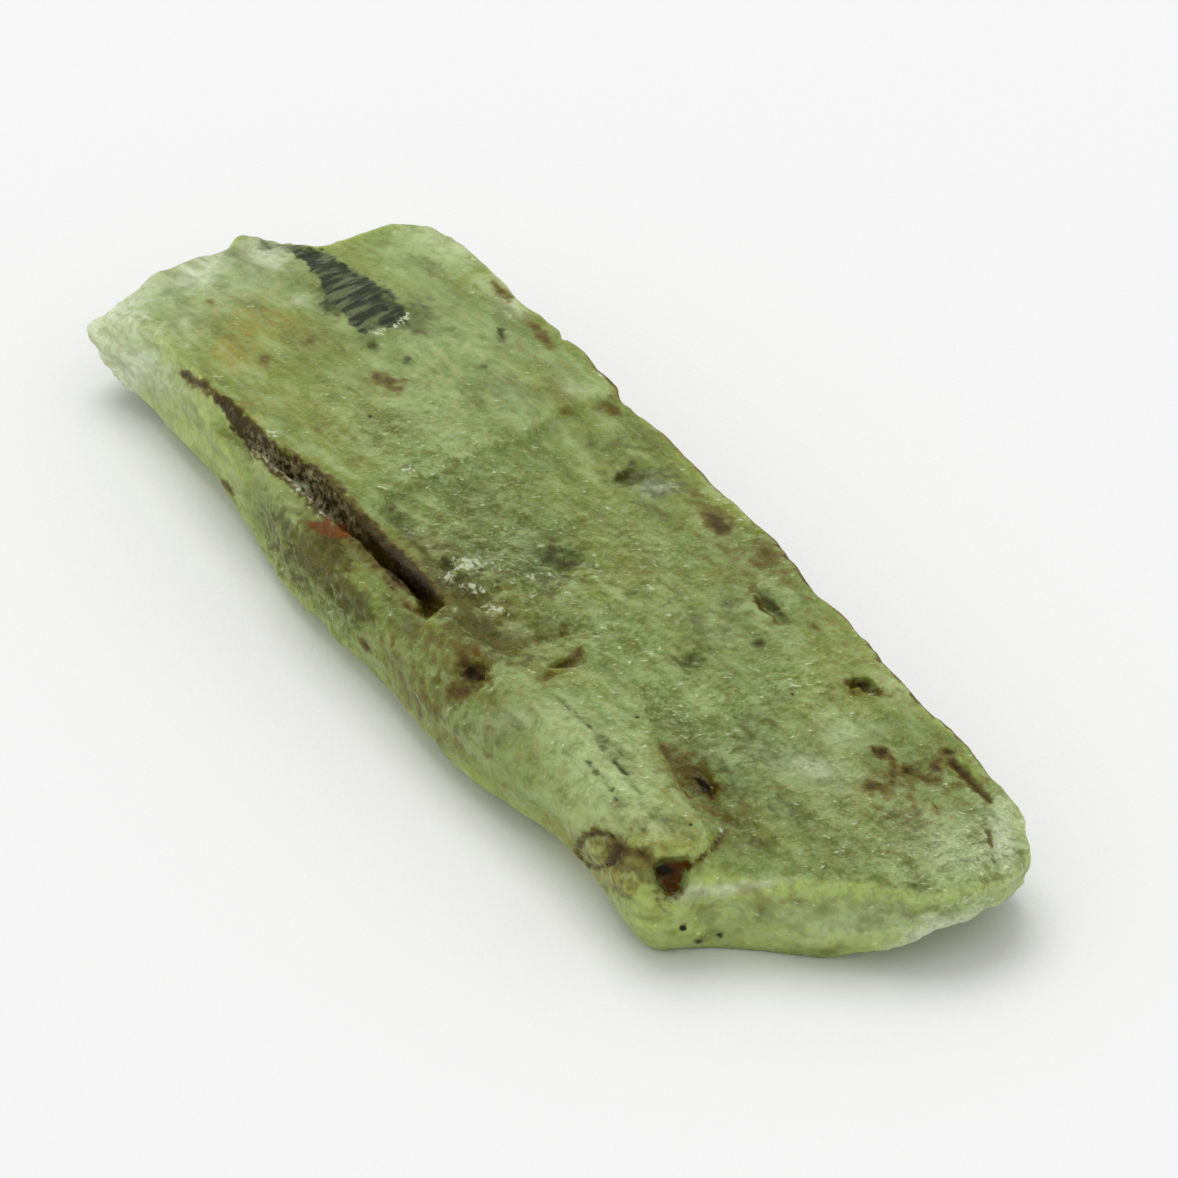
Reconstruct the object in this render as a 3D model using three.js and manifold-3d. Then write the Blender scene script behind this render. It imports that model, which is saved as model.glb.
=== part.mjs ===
import * as THREE from 'three';
import Module from 'manifold-3d';
import { ImprovedNoise } from 'three/addons/math/ImprovedNoise.js';
import { TessellateModifier } from 'three/addons/modifiers/TessellateModifier.js';
import { mergeVertices } from 'three/addons/utils/BufferGeometryUtils.js';

// A loose rough blade of green kyanite that lies on its broad cleavage face. Millimetres, +Z up.
// X runs along the blade towards its chipped near end, Y runs across it towards its straight edge,
// and the resting face is at Z = 0. The origin is under the middle of the whole crystal.

// Driving dimensions
const bladeThickness = 2.95;
const bladeWidth = 8.3;
const bladeLength = 26.5;
const tipThickness = 1.4;
const middleLedgeDrop = 0.2;
const rightStepDrop = 0.28;
const frontShelfDrop = 0.75;
const grooveDepth = 0.8;
const grooveLipDrop = 0.4;

// Surface grain: how long the facets' edges may be, and how far the weathered surface wanders
const longestFacetEdge = 1.2;
const swellLength = 4.2;
const swellHeight = 0.14;
const rippleLength = 1.5;
const rippleHeight = 0.07;
const rippleStretch = 2.2;
const flatFootHeight = 0.3;
const pebbleUnevenness = 0.5;
const weldDistance = 1e-5;
const tessellationPasses = 12;

// Where each axis of the wandering reads the noise, far enough apart to differ
const swellStarts = [11.3, 47.1, 83.5];
const rippleStarts = [31.7, 63.9, 97.3];

// The crystal's sides in turn, seen from above and counter-clockwise. A side's points are its widest
// outline, at girth height; foot, shoulder and rim say how far in it lies at those three heights.
const girthHeight = 0.6;
const shoulderHeight = 1.9;
const sides = [
  // The blunt spur at the near left corner, undercut at its foot
  { foot: 0.4, shoulder: -0.25, rim: 0.3, points: [[8.1, -3.4], [8.85, -3.5], [9.35, -3.25], [9.6, -2.7]] },
  // The front face, which leans back from its foot to the ridge above it
  { foot: 0.25, shoulder: 0.0, rim: 0.6, points: [[9.8, -2.05], [10.3, -1.4]] },
  { foot: 0.3, shoulder: 0.15, rim: 0.7, points: [[10.95, -0.75], [11.5, -0.1], [12.0, 0.55]] },
  // The thin frosted corner, which overhangs
  { foot: 0.9, shoulder: -0.3, rim: 0.4, points: [[12.15, 1.3], [12.35, 2.1], [12.28, 2.9], [11.9, 3.68]] },
  // The straight edge, with its chipped rim
  {
    foot: 0.45,
    shoulder: -0.1,
    rim: 0.15,
    points: [
      [11.3, 4.12], [10.4, 4.03], [9.0, 4.04], [8.1, 3.9], [6.6, 3.95], [5.5, 4.1], [4.6, 4.14],
      [3.5, 4.04], [2.5, 4.13], [1.7, 4.32], [0.9, 4.22], [-0.2, 4.3], [-1.4, 4.32], [-2.6, 4.31],
      [-3.6, 4.18], [-4.6, 4.08], [-6.3, 4.18], [-7.8, 4.1], [-9.4, 4.16], [-10.5, 4.12], [-11.4, 3.98],
    ],
  },
  // The frayed far end
  {
    foot: 0.4,
    shoulder: -0.05,
    rim: 0.1,
    points: [
      [-12.0, 3.85], [-12.2, 3.2], [-12.2, 2.4], [-12.15, 1.75], [-12.55, 1.3], [-13.3, 0.95],
      [-13.75, 0.55], [-13.6, 0.1], [-13.7, -0.6], [-13.7, -1.6], [-13.45, -2.4],
    ],
  },
  // The nub at the far left tip
  { foot: 0.1, shoulder: 0.05, rim: 0.12, points: [[-13.45, -2.85], [-13.5, -3.15], [-13.1, -3.45]] },
  // The left flank, upright below the groove
  {
    foot: 0.45,
    shoulder: -0.1,
    rim: 0.2,
    points: [
      [-12.4, -3.25], [-11.2, -3.06], [-9.2, -3.1], [-7.6, -3.2], [-6.0, -3.48], [-4.5, -3.76],
      [-2.9, -3.68], [-1.2, -3.65],
    ],
  },
  // The left flank past the groove, which rounds over into the bright plateau
  { foot: 0.5, shoulder: -0.1, rim: 0.45, points: [[0.3, -3.74]] },
  { foot: 0.55, shoulder: -0.15, rim: 0.55, points: [[1.5, -3.8], [3.0, -3.7]] },
  { foot: 0.55, shoulder: -0.3, rim: 0.45, points: [[4.4, -3.4], [5.6, -3.25]] },
  { foot: 0.5, shoulder: -0.35, rim: 0.35, points: [[7.0, -3.25]] },
];

// Seen from the side, X by Z: thin and lifted at the far end, full in the middle, falling at the near end
const sideOutline = [
  [-12.2, 0], [10.9, 0], [11.8, 0.35], [13.1, 1.25], [13.5, 1.85], [12.4, 2.15], [11.2, 2.45],
  [10.2, 2.75], [8.6, bladeThickness], [-2.2, bladeThickness], [-5.5, 2.9], [-9.5, 2.75],
  [-12.4, 2.5], [-13.5, 2.3], [-14.1, tipThickness], [-13.6, 0.7],
];

const wasm = await Module();
wasm.setup();

function solidOf(geometry) {
  const bare = geometry.clone();
  bare.deleteAttribute('normal');
  bare.deleteAttribute('uv');
  const welded = mergeVertices(bare, weldDistance);
  return new wasm.Manifold(new wasm.Mesh({
    numProp: 3,
    vertProperties: new Float32Array(welded.attributes.position.array),
    triVerts: new Uint32Array(welded.index.array),
  }));
}

function geometryOf(solid) {
  const mesh = solid.getMesh();
  const geometry = new THREE.BufferGeometry();
  geometry.setAttribute('position', new THREE.BufferAttribute(mesh.vertProperties, 3));
  geometry.setIndex(new THREE.BufferAttribute(mesh.triVerts, 1));
  return geometry;
}

function prism(outline, depth) {
  const shape = new THREE.Shape(outline.map(([across, up]) => new THREE.Vector2(across, up)));
  return new THREE.ExtrudeGeometry(shape, { depth, bevelEnabled: false });
}

// One ring of the outline at a height, each point moved in by its side's inset there
function ring(height, insetName) {
  const outline = sides.flatMap((side) => side.points.map(([x, y]) => ({
    at: new THREE.Vector2(x, y),
    inset: insetName ? side[insetName] : 0,
  })));
  return outline.map(({ at, inset }, index) => {
    const before = outline.at(index - 1).at;
    const after = outline[(index + 1) % outline.length].at;
    const along = after.clone().sub(before).normalize();
    return new THREE.Vector3(at.x - along.y * inset, at.y + along.x * inset, height);
  });
}

// The body: four rings from foot to rim, walls between them, and a flat cap at each end
function blade() {
  const rings = [
    ring(0, 'foot'),
    ring(girthHeight, null),
    ring(shoulderHeight, 'shoulder'),
    ring(bladeThickness, 'rim'),
  ];
  const count = rings[0].length;
  const triangles = [];
  for (let level = 0; level < rings.length - 1; level += 1) {
    for (let here = 0; here < count; here += 1) {
      const next = (here + 1) % count;
      const [low, high] = [level * count, (level + 1) * count];
      triangles.push(low + here, low + next, high + next, low + here, high + next, high + here);
    }
  }
  const flat = (points) => points.map(({ x, y }) => new THREE.Vector2(x, y));
  for (const [a, b, c] of THREE.ShapeUtils.triangulateShape(flat(rings[0]), [])) triangles.push(a, c, b);
  const top = (rings.length - 1) * count;
  for (const [a, b, c] of THREE.ShapeUtils.triangulateShape(flat(rings.at(-1)), [])) {
    triangles.push(top + a, top + b, top + c);
  }
  const geometry = new THREE.BufferGeometry().setFromPoints(rings.flat());
  geometry.setIndex(triangles);
  return solidOf(geometry);
}

// The side outline as a prism across the whole width
function sideProfile() {
  const profile = prism(sideOutline, bladeWidth * 2);
  const alongX = new THREE.Vector3(1, 0, 0);
  const alongZ = new THREE.Vector3(0, 0, 1);
  const towardsLeft = new THREE.Vector3(0, -1, 0);
  profile.applyMatrix4(new THREE.Matrix4().makeBasis(alongX, alongZ, towardsLeft));
  profile.translate(0, bladeWidth, 0);
  return solidOf(profile);
}

// Everything on the outer side of a plane through a point
function beyondPlane(point, outward) {
  const reach = bladeLength * 2;
  const block = new THREE.BoxGeometry(reach, reach, bladeThickness * 4);
  block.translate(0, 0, bladeThickness * 2);
  const turn = new THREE.Quaternion().setFromUnitVectors(
    new THREE.Vector3(0, 0, 1),
    new THREE.Vector3(...outward).normalize(),
  );
  block.applyQuaternion(turn);
  block.translate(...point);
  return solidOf(block);
}

// What lies above a lower terrace: its outline seen from above, its floor's height at a point, and
// the two slopes of the floor, in millimetres of rise per millimetre
function aboveTerrace({ outline, at: [x, y], floor, riseAlong, riseAcross }) {
  const block = prism(outline, bladeThickness);
  block.translate(-x, -y, 0);
  block.rotateY(-Math.atan(riseAlong));
  block.rotateX(Math.atan(riseAcross));
  block.translate(x, y, floor);
  return solidOf(block);
}

const noise = new ImprovedNoise();

// An uneven rounded pit or lump: its centre, its three radii, and its turn seen from above in degrees
function pebble({ centre, radii, turn }) {
  const ball = new THREE.IcosahedronGeometry(1, 1);
  const position = ball.attributes.position;
  const point = new THREE.Vector3();
  for (let index = 0; index < position.count; index += 1) {
    point.fromBufferAttribute(position, index);
    const [x, y, z] = centre;
    point.multiplyScalar(1 + pebbleUnevenness * noise.noise(point.x + x, point.y + y, point.z + z));
    position.setXYZ(index, point.x, point.y, point.z);
  }
  ball.scale(...radii);
  ball.rotateZ(THREE.MathUtils.degToRad(turn));
  ball.translate(...centre);
  return solidOf(ball);
}

// Broken faces that cut off more than the sides do, at the frosted corner and the two far corners
const chippedFaces = [
  { point: [12.0, 2.8, 2.15], outward: [0.45, 0.3, 0.95] },
  { point: [12.0, 2.6, 0.85], outward: [0.45, 0.1, -0.9] },
  { point: [-12.9, -3.0, 2.1], outward: [-0.5, -0.35, 0.8] },
  { point: [-12.3, -3.3, 0.6], outward: [-0.35, -0.3, -0.9] },
  { point: [-12.2, 3.5, 2.45], outward: [-0.5, 0.6, 0.7] },
];

const terraces = [
  // The rough middle, below the crooked ledge that runs across the blade
  {
    outline: [
      [-3.1, -2.8], [-3.3, -2.0], [-3.6, -1.2], [-3.5, -0.3], [-3.75, 0.6], [-3.6, 1.5], [-4.0, 2.4],
      [-3.85, 3.2], [-4.1, 4.9], [9.0, 4.9], [9.0, -1.2], [4.0, -1.6], [0.6, -2.7],
    ].reverse(),
    at: [-3.6, 0],
    floor: bladeThickness - middleLedgeDrop,
    riseAlong: 0.012,
    riseAcross: -0.018,
  },
  // The pitted ground on the right of the bright plateau, which falls away to the near end
  {
    outline: [
      [4.6, -0.7], [5.6, -1.05], [6.5, -1.4], [7.1, -1.56], [7.8, -1.78], [8.5, -1.74], [9.4, -1.95],
      [10.2, -1.75], [14.0, -2.4], [14.0, 4.9], [3.5, 4.9],
    ],
    at: [8.0, 0],
    floor: bladeThickness - middleLedgeDrop - rightStepDrop,
    riseAlong: -0.11,
    riseAcross: 0.055,
  },
  // The shelf in front of the plateau's curved broken edge
  {
    outline: [
      [7.9, -4.6], [8.4, -3.75], [9.1, -3.75], [9.6, -3.5], [9.8, -3.05], [9.8, -2.6], [9.55, -2.0],
      [10.5, -1.2], [14.0, -0.2], [14.0, -4.6],
    ].reverse(),
    at: [9.8, -3.0],
    floor: bladeThickness - frontShelfDrop,
    riseAlong: -0.22,
    riseAcross: 0.16,
  },
];

// The groove along the left shoulder: its outer lip is the lower one, and its floor starts as a crack,
// widens, and ends against a blunt wall
const grooveLip = [
  [-9.2, -3.12], [-8.3, -3.04], [-7.0, -2.92], [-6.1, -2.95], [-4.8, -2.72], [-3.2, -2.74], [-1.6, -2.76],
  [-0.4, -2.72], [0.3, -2.74],
];
terraces.push({
  outline: [...grooveLip, [0.6, -4.6], [-9.6, -4.6]].reverse(),
  at: [-4.0, -3.1],
  floor: bladeThickness - grooveLipDrop,
  riseAlong: -0.03,
  riseAcross: 0.12,
});
const grooveFloor = [
  ...grooveLip, [0.15, -3.02], [-0.6, -3.08], [-1.4, -3.1], [-2.8, -3.16], [-4.2, -3.26], [-5.4, -3.3],
  [-6.6, -3.3], [-7.8, -3.24],
];

// Pits and hollows: centre, radii, turn
const pits = [
  { centre: [0.3, -0.1, 2.9], radii: [0.62, 0.42, 0.2], turn: 35 },
  { centre: [1.6, -1.75, 2.95], radii: [1.15, 0.8, 0.36], turn: 20 },
  { centre: [3.2, -1.65, 2.85], radii: [0.2, 0.5, 0.2], turn: -15 },
  { centre: [2.4, -3.3, 2.62], radii: [0.3, 0.24, 0.28], turn: 10 },
  { centre: [4.28, 0.62, 2.88], radii: [0.26, 0.3, 0.18], turn: 20 },
  { centre: [3.5, 2.9, 2.84], radii: [0.55, 0.34, 0.16], turn: 30 },
  { centre: [-1.45, 2.85, 2.8], radii: [0.5, 0.32, 0.14], turn: -20 },
  { centre: [7.6, -1.25, 2.6], radii: [0.6, 0.34, 0.36], turn: -10 },
  { centre: [6.9, 3.15, 2.74], radii: [0.42, 0.2, 0.12], turn: 25 },
  { centre: [8.8, 2.25, 2.58], radii: [0.36, 0.28, 0.12], turn: 40 },
  { centre: [9.7, 2.3, 2.52], radii: [0.3, 0.3, 0.12], turn: 0 },
  { centre: [9.9, 3.45, 2.55], radii: [0.55, 0.16, 0.12], turn: 10 },
  { centre: [9.5, -2.9, 2.2], radii: [0.34, 0.36, 0.3], turn: 0 },
  { centre: [7.75, -3.62, 2.0], radii: [0.34, 0.26, 0.3], turn: 0 },
  { centre: [-6.0, 4.15, 2.7], radii: [0.6, 0.2, 0.4], turn: 5 },
  { centre: [-4.2, 4.22, 2.75], radii: [0.8, 0.25, 0.4], turn: -5 },
  { centre: [3.1, 4.28, 2.7], radii: [0.6, 0.22, 0.5], turn: 5 },
  { centre: [-3.1, -4.05, 1.9], radii: [0.9, 0.3, 0.5], turn: 5 },
  { centre: [-0.4, -4.1, 0.9], radii: [0.7, 0.28, 0.5], turn: 0 },
  { centre: [5.8, -3.95, 0.7], radii: [1.2, 0.45, 0.6], turn: 0 },
];

// Lumps that stand out: the nub on the far left tip, knobs on the straight edge and the crusted ridge
const lumps = [
  { centre: [-12.95, -3.15, 1.5], radii: [0.5, 0.45, 0.45], turn: 20 },
  { centre: [-13.35, 0.42, 2.14], radii: [0.48, 0.44, 0.42], turn: 0 },
  { centre: [1.9, 3.86, 2.45], radii: [0.6, 0.42, 0.32], turn: 5 },
  { centre: [7.8, 3.5, 2.3], radii: [0.4, 0.3, 0.28], turn: 0 },
  { centre: [-0.1, -1.75, 2.8], radii: [0.75, 0.16, 0.16], turn: 42 },
];

// The weathered surface: long swells and shorter ripples drawn out along the blade, none at the foot
function weathered(geometry) {
  const position = geometry.attributes.position;
  const point = new THREE.Vector3();
  const wander = new THREE.Vector3();
  for (let index = 0; index < position.count; index += 1) {
    point.fromBufferAttribute(position, index);
    const swell = (start) => noise.noise(
      point.x / swellLength + start,
      point.y / swellLength + start,
      point.z / swellLength,
    );
    const ripple = (start) => noise.noise(
      point.x / (rippleLength * rippleStretch) + start,
      point.y / rippleLength,
      point.z / rippleLength + start,
    );
    wander.fromArray(swellStarts.map((start, axis) => (
      swell(start) * swellHeight + ripple(rippleStarts[axis]) * rippleHeight
    )));
    wander.multiplyScalar(THREE.MathUtils.smoothstep(point.z, 0, flatFootHeight));
    point.add(wander);
    position.setXYZ(index, point.x, point.y, point.z);
  }
  return geometry;
}

function crystalGeometry() {
  let body = blade().intersect(sideProfile());
  for (const face of chippedFaces) body = body.subtract(beyondPlane(face.point, face.outward));
  for (const terrace of terraces) body = body.subtract(aboveTerrace(terrace));
  const groove = prism(grooveFloor, bladeThickness);
  groove.translate(0, 0, bladeThickness - grooveDepth);
  body = body.subtract(solidOf(groove));

  const facets = new TessellateModifier(longestFacetEdge, tessellationPasses).modify(geometryOf(body));
  let crystal = solidOf(weathered(mergeVertices(facets, weldDistance)));
  for (const lump of lumps) crystal = crystal.add(pebble(lump));
  for (const pit of pits) crystal = crystal.subtract(pebble(pit));

  const geometry = geometryOf(crystal);
  geometry.computeBoundingBox();
  const { min, max } = geometry.boundingBox;
  geometry.translate(-(min.x + max.x) / 2, -(min.y + max.y) / 2, -min.z);
  geometry.computeVertexNormals();
  return geometry;
}

const kyanite = new THREE.MeshStandardMaterial({ color: 0x8f9b62, roughness: 0.42, metalness: 0 });

const crystal = new THREE.Mesh(crystalGeometry(), kyanite);
crystal.name = 'kyanite_crystal';

const specimen = new THREE.Group();
specimen.add(crystal);

export default specimen;
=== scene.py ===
import math

import bpy
import numpy as np
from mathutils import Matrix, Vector


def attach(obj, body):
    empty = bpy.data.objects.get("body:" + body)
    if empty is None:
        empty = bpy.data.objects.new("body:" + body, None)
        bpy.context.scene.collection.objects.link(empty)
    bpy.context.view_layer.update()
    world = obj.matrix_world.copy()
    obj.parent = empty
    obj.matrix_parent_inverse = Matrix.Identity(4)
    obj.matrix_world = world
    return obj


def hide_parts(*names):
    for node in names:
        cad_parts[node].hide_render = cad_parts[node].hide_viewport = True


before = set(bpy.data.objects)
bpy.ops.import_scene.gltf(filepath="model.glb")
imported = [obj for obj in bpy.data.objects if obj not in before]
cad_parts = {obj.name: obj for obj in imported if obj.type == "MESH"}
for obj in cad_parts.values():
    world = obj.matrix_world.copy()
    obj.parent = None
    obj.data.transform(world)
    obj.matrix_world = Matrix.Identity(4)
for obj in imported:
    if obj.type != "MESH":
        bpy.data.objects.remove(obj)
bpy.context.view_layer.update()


# The view of the crystal: a long lens close to the table, looking down its near end at 37 degrees.
# The blade runs from the far left to the near right of the square picture.
MM = 0.001
FRAME_PIXELS = 1178
FOCAL_PIXELS = 9817
SENSOR_WIDTH = 36
CAMERA_RISE = math.radians(37)
CAMERA_TURN = math.radians(-31)
CAMERA_DISTANCE = 0.200
LOOKED_AT = Vector((0.274, 0.243, 1.30)) * MM
SEEN_AT = (565, 598)

towards_camera = Vector((
    math.cos(CAMERA_RISE) * math.cos(CAMERA_TURN),
    math.cos(CAMERA_RISE) * math.sin(CAMERA_TURN),
    math.sin(CAMERA_RISE),
))
camera_right = Vector((0, 0, 1)).cross(towards_camera).normalized()
camera_up = towards_camera.cross(camera_right)
metres_per_pixel = CAMERA_DISTANCE / FOCAL_PIXELS
aside = (SEEN_AT[0] - FRAME_PIXELS / 2) * metres_per_pixel
below = (SEEN_AT[1] - FRAME_PIXELS / 2) * metres_per_pixel
bpy.ops.object.camera_add(
    location=LOOKED_AT + towards_camera * CAMERA_DISTANCE - camera_right * aside + camera_up * below,
    rotation=towards_camera.to_track_quat("Z", "Y").to_euler(),
)
camera = bpy.context.active_object
camera.name = "table_camera"
camera.data.sensor_width = SENSOR_WIDTH
camera.data.lens = SENSOR_WIDTH * FOCAL_PIXELS / FRAME_PIXELS
camera.data.clip_start = 0.01
camera.data.clip_end = 20
camera.data.dof.use_dof = False
bpy.context.scene.camera = camera


# The kyanite blade: one bladed crystal of green kyanite, broken across at both ends and worn.
# It grew in one piece; its faces are cleavage planes with a fine grain, small pits and chipped steps.
# Its marks are placed by where they show in the picture, and stay on the surface.
MERGED = 0.002 * MM
VOXEL = 0.082 * MM
bpy.ops.object.select_all(action="DESELECT")
cad_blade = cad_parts["kyanite_crystal"]
bpy.context.view_layer.objects.active = cad_blade
cad_blade.select_set(True)
bpy.ops.object.duplicate()
blade = bpy.context.active_object
blade.name = "kyanite_blade"
blade.data.name = "kyanite_blade"
bpy.ops.object.mode_set(mode="EDIT")
bpy.ops.mesh.select_all(action="SELECT")
bpy.ops.mesh.remove_doubles(threshold=MERGED)
bpy.ops.mesh.normals_make_consistent(inside=False)
bpy.ops.object.mode_set(mode="OBJECT")


def finish_with(piece, kind, **settings):
    """Adds a modifier to the piece and applies it."""
    modifier = piece.modifiers.new(kind.lower(), kind)
    for name, value in settings.items():
        setattr(modifier, name, value)
    bpy.context.view_layer.objects.active = piece
    bpy.ops.object.modifier_apply(modifier=modifier.name)


def smooth_step(low, high, value):
    """0 below low and 1 above high, with a gentle rise between them."""
    share = np.clip((value - low) / (high - low), 0, 1)
    return share * share * (3 - 2 * share)


class Shape:
    """Where a piece's vertices are, in millimetres and in the picture, and which way they face."""

    def __init__(self, piece):
        flat = np.empty(len(piece.data.vertices) * 3)
        piece.data.vertices.foreach_get("co", flat)
        self.at = flat.reshape(-1, 3) / MM
        self.x, self.y, self.z = self.at.T
        self.facing = np.array([corner.vector[:] for corner in piece.data.vertex_normals])
        off = self.at * MM - np.array(camera.location)
        depth = -(off @ np.array(towards_camera))
        self.across = FRAME_PIXELS / 2 + FOCAL_PIXELS * (off @ np.array(camera_right)) / depth
        self.down = FRAME_PIXELS / 2 - FOCAL_PIXELS * (off @ np.array(camera_up)) / depth
        self.to_camera = self.facing @ np.array(towards_camera)
        self.shown = smooth_step(0.0, 0.25, self.to_camera)
        self.upper = smooth_step(0.1, 0.5, self.facing[:, 2])
        wander = 2.2
        bent_across = self.across + wander * self.wavy(2.3)
        bent_down = self.down + wander * self.wavy(3.1)
        self.bent = np.column_stack((bent_across, bent_down))

    def wavy(self, size):
        """An uneven pattern from -1 to 1, about six sizes from crest to crest in the picture."""
        a, d = self.across / size, self.down / size
        return np.sin(a + 1.7 * np.sin(0.6 * d)) * np.sin(1.3 * d + 1.9 * np.sin(0.7 * a + 1))

    def oval(self, across, down, half_long, half_wide, turn):
        """How far each vertex is from an uneven oval's middle in the picture, where 1 is the oval's rim."""
        angle = math.radians(turn)
        right, low = self.across - across, self.down - down
        u = right * math.cos(angle) + low * math.sin(angle)
        v = low * math.cos(angle) - right * math.sin(angle)
        uneven = 1 + 0.25 * self.wavy(6.5) + 0.25 * self.wavy(2.6)
        return np.hypot(u / half_long, v / half_wide) * uneven

    def patches(self, rows, soft=0.5):
        """The strength of the strongest oval at each vertex; the ovals fade across their rims.

        A row is an oval: pixel across, pixel down, half length, half width, turn in degrees and strength.
        """
        strongest = np.zeros(len(self.z))
        for across, down, half_long, half_wide, turn, strength in rows:
            away = self.oval(across, down, half_long, half_wide, turn)
            strongest = np.maximum(strongest, strength * np.clip((1 + soft - away) / (2 * soft), 0, 1))
        return strongest * self.shown

    def line(self, corners, half_wide):
        """1 on a crooked line through the corners in the picture, fading to 0 at half_wide pixels from it."""
        nearest = np.full(len(self.z), np.inf)
        for start, end in zip(corners, corners[1:]):
            start, run = np.array(start, float), np.subtract(end, start).astype(float)
            share = np.clip(((self.bent - start) @ run) / (run @ run), 0, 1)
            nearest = np.minimum(nearest, np.hypot(*(self.bent - start - share[:, None] * run).T))
        return np.clip(1 - nearest / half_wide, 0, 1) * self.shown

    def area(self, corners, soft):
        """1 inside a crooked outline in the picture and 0 outside, fading over soft pixels at its rim."""
        inside = np.zeros(len(self.z), bool)
        across, down = self.bent.T
        for (x0, y0), (x1, y1) in zip(corners, corners[1:] + corners[:1]):
            crosses = (y0 > down) != (y1 > down)
            run = np.where(crosses, (x1 - x0) * (down - y0) / ((y1 - y0) or 1) + x0, 0)
            inside ^= crosses & (across < run)
        near = self.line(corners + corners[:1], soft) * 0.5
        return np.where(inside, 1 - near, near) * self.shown


def weigh(piece, name, weights, levels=40):
    """Makes a vertex group of the weights, in even levels."""
    group = piece.vertex_groups.new(name=name)
    rounded = np.rint(np.clip(weights, 0, 1) * levels).astype(int)
    for level in range(1, levels + 1):
        chosen = np.nonzero(rounded == level)[0]
        if len(chosen):
            group.add(chosen.tolist(), level / levels, "REPLACE")


def pushed(piece, group, depth, texture=None, stretch=(1, 1, 1), turn=0):
    """Moves one vertex group along its normals by a depth in millimetres, times a texture if one is given."""
    settings = {"strength": depth * MM, "mid_level": 0.5 if texture else 0, "vertex_group": group}
    ruler = None
    if texture:
        bpy.ops.object.select_all(action="DESELECT")
        bpy.ops.object.empty_add(rotation=(0, 0, math.radians(turn)))
        ruler = bpy.context.active_object
        ruler.scale = Vector(stretch) * MM
        bpy.context.view_layer.update()
        settings |= {"texture": texture, "texture_coords": "OBJECT", "texture_coords_object": ruler}
    finish_with(piece, "DISPLACE", **settings)
    if ruler:
        bpy.data.objects.remove(ruler)


def clouds(name, size, depth=2):
    """A cloudy texture with lumps of about one size in millimetres."""
    texture = bpy.data.textures.new(name, "CLOUDS")
    texture.noise_scale = size
    texture.noise_depth = depth
    return texture


def crumbs(name, size):
    """A texture of separate crumbs of about one size in millimetres."""
    texture = bpy.data.textures.new(name, "VORONOI")
    texture.noise_scale = size
    texture.distance_metric = "DISTANCE"
    return texture


# where parts of the blade begin or end: millimetres along it (x), across it (y) and up from the table (z)
FOOT_Z = (0.02, 0.35)
NEAR_HALF_X = (0.6, 1.4)
LEFT_SIDE_Y = (-2.6, -1.9)
SPUR_X = (8.2, 9.2)
SPUR_Y = (-2.0, -1.0)
NEAR_RIM_X = (9.5, 10.5)
NEAR_RIM_FOOT_Z = (0.9, 1.3)
NEAR_RIM_TOP_Z = (2.2, 2.5)
GROOVE_X = -4.1
GROOVE_Y = -3.4
GROOVE_HALF_X = 4.4
GROOVE_HALF_Y = 0.5
GROOVE_FLOOR_Z = (1.6, 1.8)
GROOVE_TOP_Z = (2.5, 2.7)
GROOVE_NEAR_PART_X = (-7.0, -4.5)

# how far a normal points to the blade's right side, from 0 to 1
WALL_FACING = (0.2, 0.5)

# the cross-wise ledge, in the picture
LEDGE = [(380, 506), (400, 490), (467, 464), (520, 440), (600, 405)]


def groove_wall(shape):
    """The wall and lip of the groove that face away from the camera."""
    beside = (np.abs(shape.y - GROOVE_Y) < GROOVE_HALF_Y) * (np.abs(shape.x - GROOVE_X) < GROOVE_HALF_X)
    high = smooth_step(*GROOVE_FLOOR_Z, shape.z) * (1 - smooth_step(*GROOVE_TOP_Z, shape.z))
    return smooth_step(*WALL_FACING, shape.facing[:, 1]) * beside * high


finish_with(blade, "REMESH", mode="VOXEL", voxel_size=VOXEL, adaptivity=0)
finish_with(blade, "SMOOTH", factor=0.5, iterations=3)

# the worn left shoulder and near spur are well rounded; the near rim, the ledge and the groove's end a little
shape = Shape(blade)
off_foot = smooth_step(*FOOT_Z, shape.z)
left_shoulder = (1 - smooth_step(*LEFT_SIDE_Y, shape.y)) * smooth_step(*NEAR_HALF_X, shape.x) * off_foot
spur = smooth_step(*SPUR_X, shape.x) * (1 - smooth_step(*SPUR_Y, shape.y)) * off_foot
near_rim_top = 1 - smooth_step(*NEAR_RIM_TOP_Z, shape.z)
near_rim = smooth_step(*NEAR_RIM_X, shape.x) * smooth_step(*NEAR_RIM_FOOT_Z, shape.z) * near_rim_top
ledge = shape.line(LEDGE, half_wide=16)
groove_end = shape.patches([(434, 606, 22, 15, 45, 1.00)], soft=0.3)
weigh(blade, "worn_round", np.maximum(left_shoulder, spur))
finish_with(blade, "SMOOTH", factor=0.5, iterations=70, vertex_group="worn_round")
weigh(blade, "worn_rim", np.maximum(np.maximum(near_rim, ledge), groove_end))
finish_with(blade, "SMOOTH", factor=0.5, iterations=25, vertex_group="worn_rim")

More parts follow.
